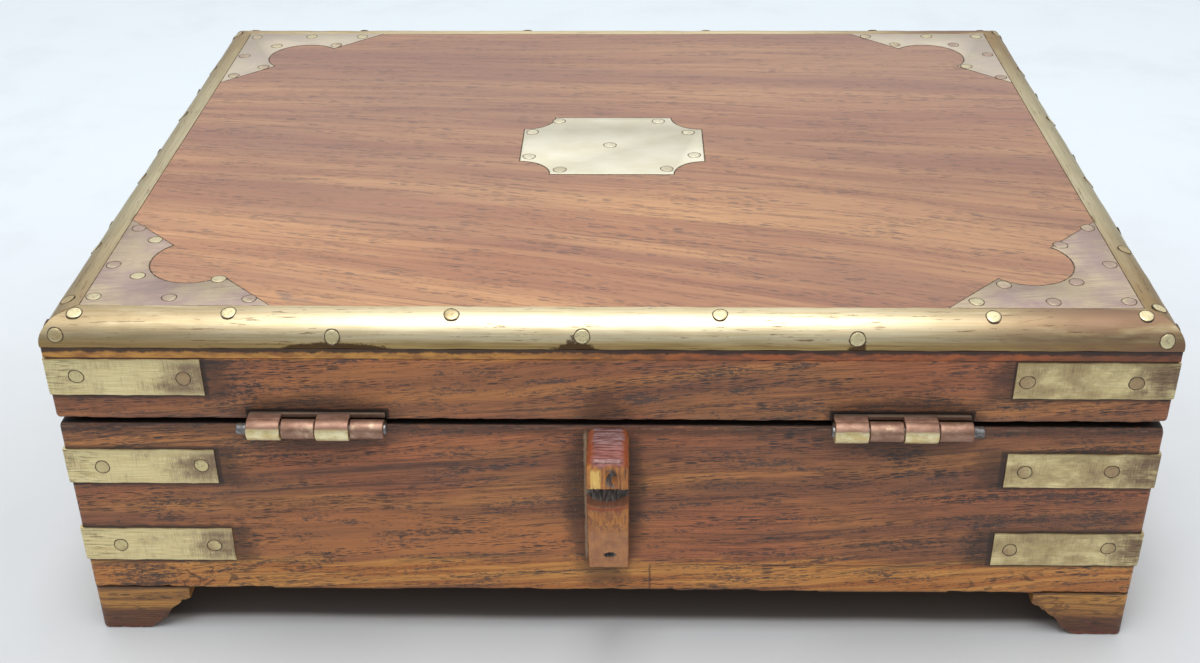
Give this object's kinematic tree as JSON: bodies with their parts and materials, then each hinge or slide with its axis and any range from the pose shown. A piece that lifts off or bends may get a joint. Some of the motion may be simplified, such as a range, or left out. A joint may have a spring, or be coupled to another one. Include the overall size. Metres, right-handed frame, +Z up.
{
  "type": "letter writing box",
  "caption": "Low brass-bound wooden writing box on bracket feet, with a hinged lid over a fitted compartment and a drawer below.",
  "frame": {"origin": "on the floor under the middle of the box, at the bottom centre of its overall extents", "axes": "+Z up; -Y is the drawer side, +Y the hinge side; -X is the left of a person who faces the drawer"},
  "size_m": [0.3316, 0.288, 0.1162],
  "materials": {
    "rosewood": "oiled red-brown hardwood with dark pores, worn at the arrises",
    "rosewood_top": "lighter orange-brown hardwood with darker bands, satin",
    "foot_wood": "yellow-orange sapwood, dirty towards the toes",
    "stop_wood": "rough split hardwood, polished on its worn top",
    "inner_wood": "plain planed wood",
    "sheet_brass": "old sheet brass, finely scratched and tarnished brown at its edges",
    "brass_pins": "hammered heads, rubbed bright",
    "hinge_brass": "worn cast brass with coppery tarnish",
    "turned_brass": "turned and handled smooth",
    "iron_pin": "plain grey iron wire"
  },
  "bodies": {
    "case": {"body_back_board": "rosewood", "body_bottom_board": "inner_wood", "body_front_board": "rosewood", "body_left_board": "rosewood", "body_lower_strap_back_left": "sheet_brass", "body_lower_strap_back_right": "sheet_brass", "body_lower_strap_front_left": "sheet_brass", "body_lower_strap_front_right": "sheet_brass", "body_right_board": "rosewood", "body_strap_pins": "brass_pins", "body_upper_strap_back_left": "sheet_brass", "body_upper_strap_back_right": "sheet_brass", "body_upper_strap_front_left": "sheet_brass", "body_upper_strap_front_right": "sheet_brass", "compartment_floor": "inner_wood", "drawer_guide_left": "inner_wood", "drawer_guide_right": "inner_wood", "foot_back_left": "foot_wood", "foot_back_right": "foot_wood", "foot_front_left": "foot_wood", "foot_front_right": "foot_wood", "hinge_body_leaf_left": "hinge_brass", "hinge_body_leaf_right": "hinge_brass", "hinge_body_screws": "brass_pins", "hinge_pins": "iron_pin", "ink_well_divider_left": "inner_wood", "ink_well_divider_right": "inner_wood", "lid_stop_block": "stop_wood", "pen_tray_divider": "inner_wood"},
    "lid": {"cartouche_pins": "brass_pins", "cartouche_plate": "sheet_brass", "corner_plate_back_left": "sheet_brass", "corner_plate_back_right": "sheet_brass", "corner_plate_front_left": "sheet_brass", "corner_plate_front_right": "sheet_brass", "corner_plate_pins": "brass_pins", "hinge_lid_leaf_left": "hinge_brass", "hinge_lid_leaf_right": "hinge_brass", "hinge_lid_screws": "brass_pins", "lid_back_rail": "rosewood", "lid_edging_back": "sheet_brass", "lid_edging_front": "sheet_brass", "lid_edging_left": "sheet_brass", "lid_edging_pins": "brass_pins", "lid_edging_right": "sheet_brass", "lid_front_rail": "rosewood", "lid_left_rail": "rosewood", "lid_right_rail": "rosewood", "lid_strap_back_left": "sheet_brass", "lid_strap_back_right": "sheet_brass", "lid_strap_front_left": "sheet_brass", "lid_strap_front_right": "sheet_brass", "lid_strap_pins": "brass_pins", "lid_top_board": "rosewood_top"},
    "drawer": {"drawer_back": "inner_wood", "drawer_bottom": "inner_wood", "drawer_front": "rosewood", "drawer_knob": "turned_brass", "drawer_side_left": "inner_wood", "drawer_side_right": "inner_wood"}
  },
  "joints": [
    {"name": "lid_hinge", "type": "hinge", "parent": "case", "child": "lid", "pos_m": [0, 0.1308, 0.0812], "axis": [-1, 0, 0], "range_deg": [0, 117]},
    {"name": "drawer_slide", "type": "slide", "parent": "case", "child": "drawer", "axis": [0, -1, 0], "range_m": [0, 0.15]}
  ]
}
